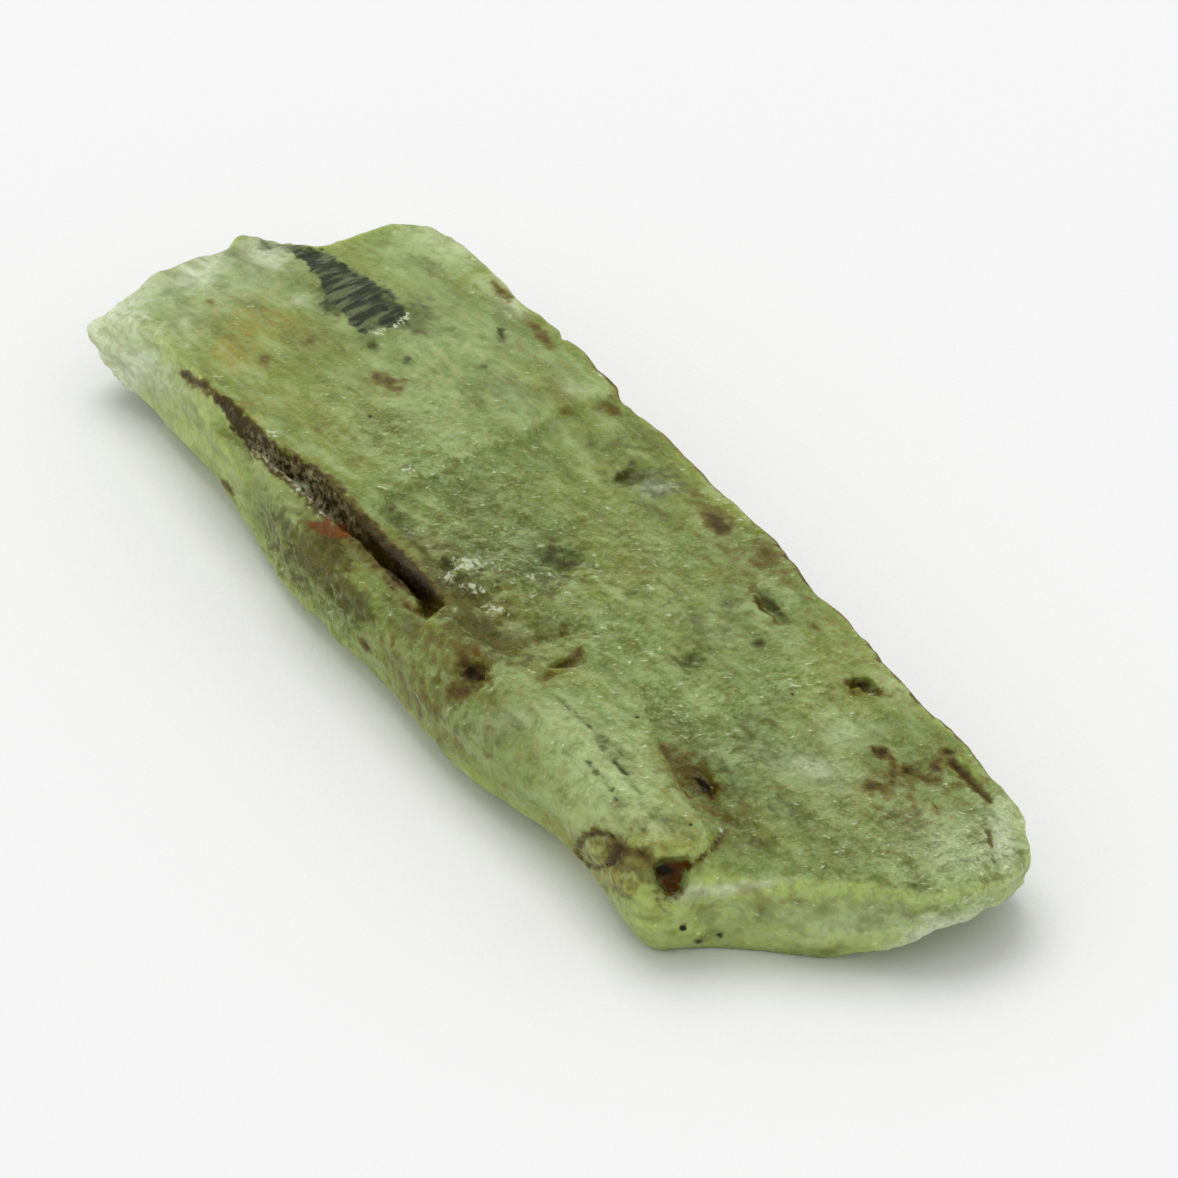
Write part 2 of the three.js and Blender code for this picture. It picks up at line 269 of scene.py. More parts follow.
# low relief: swells and grain all over, and rougher ground in places
shape = Shape(blade)
weigh(blade, "all_over", off_foot)
weigh(blade, "middle", shape.upper * shape.patches([(545, 545, 150, 75, 45, 1.00)], soft=0.3))
weigh(blade, "pitted", shape.upper * shape.patches([
    (740, 640, 120, 60, 45, 0.50), (880, 790, 170, 70, 30, 1.00),
], soft=0.3))
weigh(blade, "crusty", shape.patches([(478, 580, 34, 24, 20, 1.00), (510, 612, 30, 16, 10, 0.70)], soft=0.4))
weigh(blade, "groove_lip", groove_wall(shape) * smooth_step(*GROOVE_NEAR_PART_X, shape.x))
weigh(blade, "rough_flank", off_foot * shape.patches([(330, 580, 90, 40, 50, 1.00)], soft=0.4))
pushed(blade, "all_over", 0.20, clouds("worn_swells", size=1.2), stretch=(1.8, 1, 1))
pushed(blade, "all_over", 0.10, clouds("worn_grain", size=0.42), stretch=(2.0, 1, 1))
pushed(blade, "middle", 0.19, clouds("middle_lumps", size=0.30, depth=3), stretch=(2.0, 1, 1), turn=55)
pushed(blade, "pitted", 0.20, clouds("pitted_ground", size=0.26))
pushed(blade, "crusty", 0.34, crumbs("crust_crumbs", size=0.24))
pushed(blade, "groove_lip", 0.20)
pushed(blade, "rough_flank", 0.30, clouds("flank_lumps", size=0.34, depth=3))

# small pits and hollows: ovals from left to right in the picture, whose strength is a depth in millimetres
shape = Shape(blade)
DEEPEST = 0.30
HOLE = [(653, 863), (690, 861), (684, 876), (678, 895), (669, 896), (660, 881)]
SCOOP_RIM = [(447, 606), (467, 622), (480, 633), (500, 644), (520, 645), (545, 636), (565, 630)]
CRESCENT = [(545, 676), (556, 670), (568, 664), (579, 652)]
RING_PIT = [
    (584, 838), (596, 831), (611, 836), (619, 848), (613, 862), (598, 868), (583, 862), (577, 850),
    (584, 838),
]
END_ARC = [(643, 832), (645, 820), (657, 814), (667, 820), (673, 832)]
CRUST_CUT = [(446, 560), (470, 552), (500, 548)]
MIDDLE_CUT = [(517, 590), (535, 595), (560, 593)]
PLATEAU_SEAM = [(560, 700), (600, 735), (625, 757)]
PLATEAU_SPLIT = [(586, 762), (604, 780), (622, 806)]
STEP_SPLIT = [(596, 738), (612, 758), (640, 792)]
carved = shape.patches([
    (374, 345, 6, 5, 0, 0.05), (445, 688, 14, 8, 60, 0.06), (448, 566, 6, 9, 0, 0.16),
    (466, 690, 8, 5, 60, 0.12), (473, 672, 11, 11, 0, 0.22), (502, 334, 5, 7, 0, 0.06),
    (525, 520, 12, 4, -30, 0.07), (540, 560, 12, 5, -20, 0.08), (557, 557, 28, 15, 5, 0.10),
    (590, 622, 10, 4, -30, 0.06), (606, 665, 6, 5, 0, 0.05), (612, 600, 12, 4, 50, 0.07),
    (625, 872, 7, 5, 0, 0.10), (626, 477, 18, 7, -20, 0.12), (635, 589, 14, 6, -40, 0.08),
    (692, 660, 14, 10, 0, 0.12), (703, 782, 26, 13, 45, 0.18), (760, 643, 8, 6, 0, 0.10),
    (766, 600, 15, 7, 50, 0.16), (778, 612, 12, 6, 40, 0.14), (815, 627, 8, 5, 40, 0.08),
    (861, 687, 14, 6, 15, 0.16), (872, 786, 7, 6, 0, 0.10), (883, 752, 8, 6, 0, 0.10),
    (914, 770, 10, 6, 0, 0.08), (971, 775, 22, 5, 48, 0.14), (996, 873, 8, 9, 0, 0.08),
])

# thin cuts and cracks: depth in millimetres, half width in pixels and corners
CUTS = [
    (0.05, 6, [(388, 500), (420, 488), (450, 470), (480, 452)]),
    (0.06, 5, CRUST_CUT),
    (0.16, 9, SCOOP_RIM),
    (0.05, 6, [(472, 598), (496, 614), (529, 618), (550, 604)]),
    (0.05, 6, [(485, 585), (509, 601), (542, 605), (545, 591)]),
    (0.08, 6, MIDDLE_CUT),
    (0.16, 7, CRESCENT),
    (0.05, 4, PLATEAU_SEAM),
    (0.10, 5, RING_PIT),
    (0.06, 5, PLATEAU_SPLIT),
    (0.08, 5, STEP_SPLIT),
    (0.07, 6, END_ARC),
    (0.10, 7, [(668, 755), (676, 780), (692, 803), (716, 815), (735, 823), (755, 826)]),
    (0.12, 7, [(724, 831), (715, 846), (700, 860), (688, 865), (655, 862), (632, 852)]),
]
for depth, half_wide, corners in CUTS:
    carved = np.maximum(carved, depth * shape.line(corners, half_wide))
carved = np.maximum(carved, DEEPEST * shape.area(HOLE, soft=6))

# small raised crumbs and rims, in the same way as the hollows
raised = shape.patches([
    (452, 575, 5, 5, 0, 0.10), (468, 566, 12, 7, 0, 0.12), (474, 588, 10, 5, 0, 0.10),
    (496, 611, 9, 5, 0, 0.10), (598, 851, 6, 5, 0, 0.10), (656, 826, 7, 6, 0, 0.05),
])
weigh(blade, "carved", carved / DEEPEST)
weigh(blade, "raised", raised / DEEPEST)
pushed(blade, "carved", -DEEPEST)
pushed(blade, "raised", DEEPEST)
finish_with(blade, "SMOOTH", factor=0.3, iterations=1)

# the crystal rests on the table with its lowest points
flat = np.empty(len(blade.data.vertices) * 3)
blade.data.vertices.foreach_get("co", flat)
low = flat.reshape(-1, 3)
low[:, 2] = np.maximum(low[:, 2] - low[:, 2].min(), 0)
blade.data.vertices.foreach_set("co", low.ravel())
blade.vertex_groups.clear()
blade.data.update()
bpy.ops.object.select_all(action="DESELECT")
blade.select_set(True)
bpy.context.view_layer.objects.active = blade
bpy.ops.object.shade_smooth()

# where each stain, inclusion, clouded part and patch of painted light and shade lies: ovals, from left to
# right in the picture
shape = Shape(blade)
FLAKE = [
    (284, 242), (307, 248), (330, 253), (345, 264), (361, 276), (388, 284), (404, 299), (411, 315),
    (405, 323), (376, 333), (359, 333), (349, 324), (344, 310), (326, 301), (318, 279), (307, 267),
    (295, 255),
]
GROOVE = [
    (212, 393), (228, 400), (244, 415), (259, 431), (277, 449), (320, 474), (357, 513), (400, 554),
    (443, 597), (440, 605), (428, 609), (394, 579), (360, 541), (336, 526), (310, 500), (276, 475),
    (249, 448), (234, 428), (221, 408),
]
GROOVE_SHADE = [(388, 508), (432, 560), (468, 626)]
FAR_VEIN = [(500, 322), (530, 355), (570, 400)]
MIDDLE_START_X = (-7.5, -5.0)
MIDDLE_END_X = (6.0, 9.0)
FLANK_FOOT_Z = (0.3, 1.3)
RIM_Z = (1.6, 2.0)
RIM_Y = (1.5, 2.5)
RIM_START_ACROSS = (480, 640)
RIM_END_ACROSS = (985, 1005)

# how far a normal points up, to the blade's right side or away from the camera, from 0 to 1
STEEP = (0.45, 0.90)
OVERHUNG = (-0.5, 0.0)
TURNED_RIGHT = (0.18, 0.45)
TURNED_AWAY = (0.0, 0.5)

# how strong the painted glow and the stains are in places
GLOW_LOST_MIDWAY = 0.75
GLOW_LOST_BEHIND = 0.6
FOOT_PAINTED_GLOW = 0.9
GROOVE_WALL_STAIN = 0.5
HOLE_RUST = 0.95
HOLE_BLACK_SHADE = 0.35

mid_length = smooth_step(*MIDDLE_START_X, shape.x) * (1 - smooth_step(*MIDDLE_END_X, shape.x))
sloping = (1 - smooth_step(*STEEP, shape.facing[:, 2])) * smooth_step(*OVERHUNG, shape.facing[:, 2])
turned_away = smooth_step(*TURNED_AWAY, -shape.to_camera)
painted_glow_slopes = sloping * (1 - GLOW_LOST_MIDWAY * mid_length)
painted_glow_foot = FOOT_PAINTED_GLOW * (1 - smooth_step(*FLANK_FOOT_Z, shape.z))
right_rim = smooth_step(*TURNED_RIGHT, shape.facing[:, 1]) * smooth_step(*RIM_Z, shape.z)
right_rim *= (1 - turned_away) * smooth_step(*RIM_Y, shape.y)
rim_length = smooth_step(*RIM_START_ACROSS, shape.across)
rim_stain = right_rim * np.clip(0.84 + 0.26 * shape.wavy(13), 0, 1.1) * rim_length
rim_stain *= 1 - smooth_step(*RIM_END_ACROSS, shape.across)
hole = shape.area(HOLE, soft=4)

# the finishes below: the parts the picture doesn't show, a painted glow on the rims and flanks as of light
# through the stone, a deeper green, milky and frosted parts together with painted light on the lit plateau,
# bevel and flank and a painted glow at the thin ends, white crumbs with a few painted glints, and the rougher
# ground where the painted glints cluster
finishes = {
    "hidden": 1 - shape.shown,
    # a painted glow: the rims, flanks and foot painted lighter, as if light shone through the stone
    "painted_glow": np.maximum(painted_glow_slopes, painted_glow_foot) * (1 - GLOW_LOST_BEHIND * turned_away),
    "groove": np.maximum(shape.area(GROOVE, soft=5), GROOVE_WALL_STAIN * groove_wall(shape)),
    "mica": shape.patches([
        (268, 456, 24, 15, 45, 1.00), (300, 482, 40, 18, 45, 1.20), (338, 516, 26, 12, 45, 0.80),
    ]),
    "flake": shape.area(FLAKE, soft=6) * (1 - shape.patches([
        (380, 322, 26, 8, -20, 0.35), (389, 301, 20, 13, 30, 0.46),
    ])),
    "brown": np.maximum(rim_stain, shape.patches([
        (211, 302, 9, 5, 10, 0.60), (228, 488, 12, 4, 50, 0.90), (246, 402, 14, 6, 40, 0.40),
        (266, 360, 7, 9, 0, 0.72), (298, 427, 18, 6, 20, 0.45), (303, 592, 14, 5, 45, 0.55),
        (311, 341, 11, 5, -10, 0.66), (318, 430, 10, 5, 20, 0.50), (318, 552, 42, 32, 50, 0.50),
        (330, 500, 24, 6, 50, 0.50), (330, 575, 80, 26, 50, 0.44), (365, 645, 12, 5, 45, 0.80),
        (386, 380, 18, 9, 10, 0.76), (395, 388, 10, 8, 0, 0.70), (410, 680, 60, 34, 50, 0.46),
        (430, 614, 16, 6, 20, 0.50), (433, 275, 9, 12, 0, 0.32), (444, 700, 20, 14, 60, 0.40),
        (450, 682, 12, 7, -30, 0.45), (455, 655, 80, 50, 40, 0.46), (457, 290, 20, 16, 20, 0.24),
        (460, 690, 14, 14, 0, 0.85), (466, 662, 10, 14, 0, 0.90), (466, 691, 9, 6, 70, 0.80),
        (470, 600, 50, 34, 30, 0.36), (473, 672, 18, 14, 30, 1.00), (476, 650, 7, 13, 10, 0.90),
        (480, 520, 40, 20, 30, 0.28), (484, 678, 10, 6, 20, 0.90), (500, 770, 20, 8, 0, 0.25),
        (502, 292, 15, 7, 45, 0.75), (540, 334, 26, 7, 45, 0.75), (560, 590, 50, 24, 20, 0.26),
        (562, 634, 8, 5, 0, 0.75), (566, 411, 13, 6, -15, 0.60), (578, 655, 7, 10, 10, 0.72),
        (600, 548, 80, 30, 30, 0.26), (600, 851, 26, 22, 0, 0.45), (611, 408, 14, 8, 40, 0.75),
        (618, 852, 12, 16, 10, 1.10), (640, 853, 22, 8, 15, 0.72), (640, 860, 40, 20, 10, 0.50),
        (666, 746, 11, 10, 0, 0.62), (666, 851, 18, 9, 0, 0.45), (668, 880, 22, 18, 0, 0.60),
        (688, 766, 30, 16, 50, 0.76), (690, 870, 30, 8, 0, 0.40), (702, 508, 18, 10, 30, 0.55),
        (709, 787, 15, 11, 45, 1.00), (718, 524, 19, 12, 35, 0.95), (740, 556, 54, 28, 45, 0.46),
        (740, 812, 30, 12, 10, 0.42), (745, 548, 14, 8, 0, 0.45), (767, 555, 27, 14, 45, 0.74),
        (786, 578, 16, 9, 45, 0.62), (815, 627, 10, 6, 30, 0.60), (840, 610, 40, 10, 45, 0.40),
        (850, 660, 60, 24, 45, 0.26), (850, 820, 80, 30, 30, 0.26), (859, 687, 13, 7, 15, 1.00),
        (871, 786, 9, 7, 20, 0.95), (877, 692, 12, 4, 20, 0.85), (882, 752, 9, 7, 20, 0.95),
        (884, 789, 8, 4, -30, 0.50), (894, 768, 6, 15, -10, 0.80), (902, 732, 12, 11, 0, 0.40),
        (905, 700, 16, 7, 45, 0.50), (908, 771, 13, 7, 15, 0.88), (909, 778, 46, 26, 15, 0.42),
        (911, 800, 5, 13, 5, 0.40), (926, 779, 16, 6, 10, 0.80), (934, 764, 10, 8, -40, 0.85),
        (958, 785, 8, 4, 10, 0.72), (996, 876, 7, 8, 0, 0.45),
    ], soft=0.6)),
    "ochre": shape.patches([
        (165, 372, 50, 20, 45, 0.34), (196, 384, 24, 6, 30, 0.50), (213, 301, 9, 6, 0, 0.70),
        (230, 354, 19, 22, -20, 0.98), (248, 364, 20, 9, 30, 0.70), (255, 420, 28, 12, 45, 0.62),
        (262, 296, 26, 5, -8, 0.62), (262, 326, 50, 34, 15, 0.66), (262, 382, 10, 8, 0, 0.45),
        (325, 425, 70, 22, 45, 0.36), (330, 318, 12, 8, 0, 0.45), (330, 560, 50, 30, 50, 0.55),
        (350, 520, 60, 7, 45, 0.60), (430, 715, 60, 30, 45, 0.46), (430, 716, 40, 24, 45, 0.60),
        (440, 560, 50, 26, 45, 0.80), (450, 640, 50, 14, 45, 0.50), (452, 580, 40, 30, 0, 0.50),
        (452, 590, 44, 30, 20, 0.80), (480, 630, 70, 46, 30, 0.66), (485, 612, 60, 34, 30, 0.80),
        (540, 675, 44, 24, 0, 0.46), (540, 840, 44, 20, 45, 0.50), (545, 650, 60, 20, 20, 0.30),
        (556, 842, 34, 20, 45, 0.90), (560, 780, 60, 20, 45, 0.30), (602, 862, 40, 34, 0, 0.60),
        (602, 874, 40, 22, 20, 0.95), (660, 840, 40, 16, 0, 0.60), (690, 800, 50, 30, 30, 0.45),
        (745, 830, 50, 20, 10, 0.40), (760, 905, 110, 22, 0, 0.35), (860, 810, 80, 30, 30, 0.40),
        (900, 800, 70, 26, 20, 0.50),
    ]),
    "rust": np.maximum(HOLE_RUST * hole, shape.patches([
        (334, 531, 19, 8, 12, 1.35), (463, 690, 6, 4, 0, 0.40), (476, 653, 3, 8, 10, 0.70),
        (616, 852, 5, 8, 0, 0.40), (674, 882, 9, 12, 10, 1.00), (714, 795, 6, 5, 0, 0.50),
    ])),
    # black grains, and black in the hole and hollows that stands partly for their shade
    "black_and_shade": np.maximum(HOLE_BLACK_SHADE * hole, shape.patches([
        (370, 417, 3, 3, 0, 0.90), (378, 544, 20, 7, 48, 0.60), (412, 580, 36, 9, 48, 0.95),
        (470, 672, 7, 5, 30, 0.85), (482, 678, 5, 4, 0, 0.70), (637, 717, 3, 3, 0, 0.80),
        (664, 869, 12, 6, 10, 1.00), (683, 928, 4, 4, 0, 0.90), (691, 825, 3, 3, 0, 0.80),
        (697, 941, 5, 3, 0, 0.70), (704, 785, 14, 6, 45, 0.80), (720, 935, 4, 3, 0, 0.80),
        (737, 715, 3, 3, 0, 0.70), (792, 695, 4, 3, 0, 0.80), (858, 687, 5, 3, 10, 0.80),
        (869, 786, 4, 3, 0, 0.50), (950, 753, 7, 4, 20, 0.60),
    ])),
    # darker patches of the stone, and painted shade in hollows, along steps and beside the groove
    "dark_and_shade": shape.patches([
        (250, 262, 10, 6, 0, 0.35), (272, 243, 22, 11, 0, 0.75), (285, 530, 40, 20, 52, 0.70),
        (300, 270, 16, 12, 40, 0.40), (300, 360, 20, 12, 30, 0.35), (316, 552, 46, 36, 50, 0.85),
        (330, 360, 30, 14, 30, 0.30), (330, 546, 28, 18, 45, 1.10), (332, 300, 16, 22, 0, 0.90),
        (345, 596, 56, 22, 45, 0.80), (366, 338, 18, 6, 0, 0.50), (372, 346, 8, 5, 0, 0.90),
        (385, 322, 14, 8, 0, 0.50), (390, 660, 20, 26, 40, 0.42), (392, 332, 22, 10, 0, 0.50),
        (392, 600, 26, 12, 45, 0.50), (400, 620, 50, 20, 45, 0.55), (408, 360, 7, 5, 0, 0.80),
        (412, 318, 36, 28, 0, 0.64), (420, 422, 24, 16, 0, 0.36), (424, 716, 40, 20, 60, 0.46),
        (430, 268, 20, 12, 20, 0.45), (430, 650, 60, 24, 45, 0.36), (432, 327, 6, 4, 0, 0.70),
        (432, 720, 44, 24, 45, 0.50), (435, 540, 32, 20, 45, 0.50), (440, 705, 60, 30, 45, 0.58),
        (447, 566, 6, 10, 0, 1.00), (450, 302, 26, 16, 45, 0.42), (455, 560, 34, 30, 60, 0.62),
        (462, 590, 50, 34, 40, 0.80), (465, 740, 50, 18, 45, 0.40), (475, 640, 60, 38, 30, 0.72),
        (480, 505, 60, 34, 35, 0.44), (480, 548, 90, 22, 10, 0.52), (480, 632, 60, 26, 30, 0.86),
        (480, 735, 50, 26, 45, 0.46), (483, 366, 12, 4, -30, 0.70), (486, 596, 16, 7, 20, 0.70),
        (500, 590, 90, 50, 35, 0.46), (502, 334, 6, 9, 0, 1.00), (520, 528, 40, 22, 30, 0.42),
        (520, 658, 44, 16, 0, 0.50), (530, 585, 50, 10, 5, 0.50), (538, 630, 40, 16, 0, 0.66),
        (540, 572, 44, 14, 5, 0.72), (540, 688, 30, 16, 0, 0.44), (545, 552, 50, 34, 10, 0.52),
        (552, 566, 44, 24, 10, 0.45), (558, 558, 36, 19, 5, 0.78), (560, 520, 90, 34, 40, 0.32),
        (580, 600, 30, 14, 20, 0.36), (600, 851, 26, 22, 0, 0.45), (602, 448, 34, 16, 40, 0.56),
        (606, 667, 7, 6, 0, 0.55), (612, 892, 34, 24, 30, 0.50), (617, 488, 6, 8, 0, 0.55),
        (626, 476, 20, 9, -20, 0.85), (634, 590, 14, 6, -40, 0.60), (634, 866, 30, 12, 0, 0.40),
        (640, 450, 50, 26, 40, 0.50), (640, 475, 46, 12, 0, 0.36), (640, 876, 50, 22, 15, 0.50),
        (655, 482, 40, 26, 0, 0.62), (660, 515, 30, 16, 20, 0.50), (660, 520, 30, 20, 0, 0.35),
        (668, 880, 26, 22, 0, 0.70), (692, 660, 20, 14, 0, 0.66), (698, 778, 50, 28, 50, 0.72),
        (700, 632, 50, 20, 45, 0.54), (700, 780, 28, 14, 45, 0.95), (715, 632, 44, 26, 45, 0.46),
        (720, 808, 34, 16, 0, 0.50), (722, 780, 46, 30, 20, 0.60), (735, 590, 50, 30, 45, 0.34),
        (735, 605, 34, 22, 45, 0.52), (735, 752, 44, 22, 20, 0.40), (737, 559, 40, 24, 45, 0.40),
        (745, 820, 60, 24, 20, 0.52), (752, 842, 40, 16, 10, 0.60), (755, 725, 34, 20, -10, 0.55),
        (755, 842, 16, 9, 0, 0.70), (760, 643, 9, 7, 0, 0.80), (762, 832, 34, 14, 0, 0.46),
        (765, 706, 30, 7, -25, 0.50), (765, 750, 50, 22, 20, 0.48), (766, 602, 15, 7, 50, 0.95),
        (780, 614, 12, 6, 40, 0.90), (780, 632, 34, 20, 45, 0.42), (785, 812, 44, 20, 20, 0.52),
        (820, 870, 60, 12, 10, 0.30), (823, 840, 50, 18, 20, 0.42), (850, 800, 60, 24, 30, 0.30),
        (900, 812, 44, 20, 20, 0.46), (909, 780, 44, 26, 15, 0.50), (915, 887, 9, 6, 0, 0.70),
    ], soft=0.6),
    "leaf": shape.patches([
        (230, 440, 60, 14, 48, 0.40), (350, 380, 60, 40, 40, 0.25), (365, 470, 90, 24, 45, 0.60),
        (370, 345, 30, 12, 0, 0.50), (420, 485, 44, 8, -30, 0.60), (425, 560, 50, 14, 45, 0.70),
        (470, 715, 50, 16, 45, 0.50), (480, 640, 30, 10, 30, 0.70), (505, 640, 34, 12, 5, 0.90),
        (560, 860, 30, 14, 50, 0.30), (565, 665, 20, 8, -35, 0.90), (640, 640, 80, 40, 45, 0.30),
        (690, 950, 60, 10, 5, 0.40), (730, 845, 40, 14, 0, 0.35),
    ], soft=0.8),
    # milky patches, and painted light on the lit plateau, the front bevel and the left flank
    "milky_and_lit": shape.patches([
        (152, 420, 34, 14, 50, 1.00), (160, 370, 80, 30, 50, 0.90), (230, 300, 80, 40, -20, 0.50),
        (260, 470, 60, 8, 48, 0.50), (290, 500, 40, 10, 48, 0.60), (370, 440, 60, 24, 45, 0.60),
        (420, 330, 100, 60, 30, 0.65), (440, 246, 40, 22, 20, 1.10), (440, 400, 100, 50, 30, 0.60),
        (460, 455, 60, 14, -25, 0.60), (495, 292, 30, 18, 45, 1.00), (505, 712, 50, 12, -25, 0.60),
        (580, 440, 90, 20, 45, 0.40), (600, 392, 20, 10, 45, 0.80), (600, 660, 40, 20, 40, 0.40),
        (600, 770, 100, 50, 45, 1.00), (640, 800, 50, 30, 30, 0.80), (640, 900, 30, 8, 0, 0.30),
        (652, 716, 26, 12, 60, 0.30), (720, 640, 100, 40, 45, 0.36), (800, 770, 60, 16, 10, 0.60),
        (830, 720, 40, 20, 20, 0.55), (832, 916, 140, 24, 0, 0.90), (850, 830, 90, 40, 30, 0.20),
        (898, 690, 36, 16, 45, 0.95), (945, 928, 50, 20, -20, 0.95), (960, 850, 50, 40, 30, 0.80),
    ], soft=0.8),
    # frosted parts, and a painted glow where light would shine through the thin tip, the near corner and the
    # bevel
    "frost_and_glow": shape.patches([
        (106, 335, 34, 50, 0, 1.30), (124, 372, 34, 40, 30, 1.30), (145, 290, 50, 24, -35, 0.76),
        (145, 335, 14, 30, 0, 0.60), (150, 418, 36, 16, 50, 0.50), (185, 318, 30, 18, -30, 0.60),
        (200, 268, 46, 22, -30, 0.95), (212, 300, 20, 14, 0, 0.40), (240, 284, 60, 14, -15, 0.55),
        (262, 253, 32, 20, 0, 1.00), (300, 300, 10, 8, 0, 0.70), (455, 243, 24, 12, 20, 0.60),
        (480, 570, 26, 14, 0, 0.50), (508, 722, 30, 14, -20, 0.60), (512, 304, 22, 12, 45, 0.75),
        (512, 392, 26, 14, 45, 0.50), (515, 628, 12, 7, 0, 0.60), (572, 386, 20, 12, 45, 0.62),
        (655, 487, 17, 10, 0, 1.25), (655, 828, 12, 8, 0, 0.60), (692, 891, 20, 8, -15, 0.95),
        (735, 888, 44, 8, -8, 0.95), (812, 768, 44, 18, 15, 0.75), (840, 735, 30, 16, 0, 0.60),
        (840, 932, 50, 12, 0, 0.50), (950, 850, 60, 44, 30, 0.55), (950, 932, 60, 22, -12, 1.20),
        (975, 910, 46, 18, -30, 0.70), (1003, 835, 24, 48, 0, 0.95), (1006, 812, 12, 12, 0, 1.00),
    ], soft=0.7),
    # white crumbs, with a few painted glints among them
    "crust_and_glints": shape.patches([
        (103, 333, 8, 9, 0, 0.60), (268, 456, 9, 5, 20, 0.70), (272, 435, 8, 5, 0, 0.75),
        (302, 486, 10, 6, 30, 0.85), (322, 514, 9, 5, 30, 0.60), (410, 470, 10, 4, 20, 0.70),
        (412, 530, 8, 5, 0, 0.50), (450, 577, 8, 7, 30, 0.90), (470, 564, 17, 9, 0, 1.00),
        (474, 589, 14, 6, 0, 0.95), (495, 611, 14, 6, 10, 0.80), (535, 577, 20, 5, 0, 0.60),
        (651, 586, 6, 5, 0, 0.80), (655, 488, 8, 5, 0, 0.60), (720, 831, 4, 5, 0, 1.00),
        (968, 899, 7, 5, 0, 0.70), (985, 840, 30, 30, 0, 0.40), (998, 855, 6, 6, 0, 0.70),
        (1004, 819, 8, 7, 0, 0.80),
    ]),
    # the rougher ground, where the painted glints cluster and the relief is stronger
    "glitter": shape.patches([
        (320, 600, 70, 30, 45, 0.70), (330, 500, 60, 10, 45, 1.00), (430, 460, 90, 40, 30, 0.70),
        (430, 680, 60, 40, 45, 0.60), (470, 640, 50, 40, 40, 0.80), (520, 560, 120, 60, 35, 1.00),
        (560, 620, 90, 50, 30, 0.80), (620, 760, 80, 50, 40, 0.50), (640, 560, 80, 50, 40, 0.60),
        (720, 740, 120, 60, 30, 0.70), (760, 560, 60, 30, 45, 0.70), (800, 680, 80, 50, 45, 0.60),
        (900, 830, 110, 60, 20, 0.80), (960, 860, 60, 40, 30, 1.00), (985, 850, 40, 50, 20, 1.00),
    ], soft=0.9),
}

# stains, clouding and painted shade along lines: strength, half width in pixels and corners
STREAKS = {
    "dark_and_shade": [
        (0.45, 9, [(388, 502), (420, 490), (450, 474), (480, 455)]),
        (0.75, 26, GROOVE_SHADE),
        (0.45, 5, CRUST_CUT),
        (0.50, 14, SCOOP_RIM),
        (0.24, 14, FAR_VEIN),
        (0.40, 6, [(505, 448), (545, 430), (575, 416)]),
        (0.55, 7, MIDDLE_CUT),
        (0.50, 12, CRESCENT),
        (0.70, 6, PLATEAU_SEAM),
        (0.80, 6, PLATEAU_SPLIT),
        (0.95, 6, STEP_SPLIT),
        (0.60, 7, END_ARC),
        # a painted shadow along the step's right side
        (1.00, 17, [(676, 766), (692, 780), (712, 793)]),
    ],
    "brown": [
        (1.05, 9, [(183, 373), (196, 383), (206, 385), (220, 398)]),
        (0.70, 7, [(205, 392), (240, 407), (270, 440), (330, 478)]),
        (0.50, 6, [(270, 475), (306, 502), (330, 530), (360, 545), (400, 585), (424, 610)]),
        (1.00, 9, [(330, 478), (362, 514), (400, 553), (446, 598)]),
        (0.95, 11, [(340, 536), (362, 552), (389, 582), (416, 612)]),
        (0.45, 6, [(398, 495), (425, 486), (452, 470)]),
        (1.00, 8, [(416, 612), (432, 614), (444, 602)]),
        (0.50, 16, SCOOP_RIM),
        (0.62, 12, [(448, 640), (470, 656), (492, 668)]),
        (0.30, 14, FAR_VEIN),
        (0.80, 14, CRESCENT),
        (0.60, 8, [(570, 664), (580, 654), (580, 646)]),
        (0.98, 8, RING_PIT),
        (0.85, 9, [(620, 846), (634, 851), (650, 856)]),
        (0.80, 14, [(664, 746), (672, 766), (690, 784), (712, 793)]),
        (0.75, 7, [(672, 770), (690, 798), (712, 812), (728, 822)]),
        (0.80, 10, [(688, 866), (655, 862), (632, 852)]),
        (0.40, 24, [(700, 500), (745, 540), (800, 590), (860, 655), (930, 725), (985, 785)]),
        (1.00, 7, [(724, 831), (715, 846), (700, 860), (688, 866)]),
        (0.45, 6, [(728, 822), (750, 826), (765, 820)]),
        (1.00, 9, [(866, 786), (876, 784), (884, 790)]),
        (1.05, 9, [(874, 750), (886, 752), (895, 765), (892, 782)]),
        (0.95, 10, [(902, 772), (916, 774), (928, 782), (938, 778)]),
        (0.65, 8, [(911, 788), (912, 806)]),
        (0.90, 8, [(928, 778), (936, 764), (942, 756)]),
        (1.10, 9, [(946, 750), (957, 768), (972, 784), (988, 800)]),
        (0.85, 5, [(946, 753), (957, 770), (972, 786), (987, 799)]),
        (0.60, 5, [(958, 750), (975, 766), (990, 783)]),
    ],
    "leaf": [
        # painted shade beside the groove, in a deeper green
        (0.90, 22, GROOVE_SHADE),
        (1.20, 26, SCOOP_RIM),
        (1.10, 18, CRESCENT),
    ],
    "crust_and_glints": [
        (0.90, 5, [(374, 334), (390, 328), (400, 322), (408, 315)]),
    ],
}
for finish_name, streaks in STREAKS.items():
    for strength, half_wide, corners in streaks:
        finishes[finish_name] = np.maximum(finishes[finish_name], strength * shape.line(corners, half_wide))
for finish_name, strengths in finishes.items():
    layer = blade.data.attributes.new(finish_name, "FLOAT", "POINT")
    layer.data.foreach_set("value", strengths.astype(np.float32))

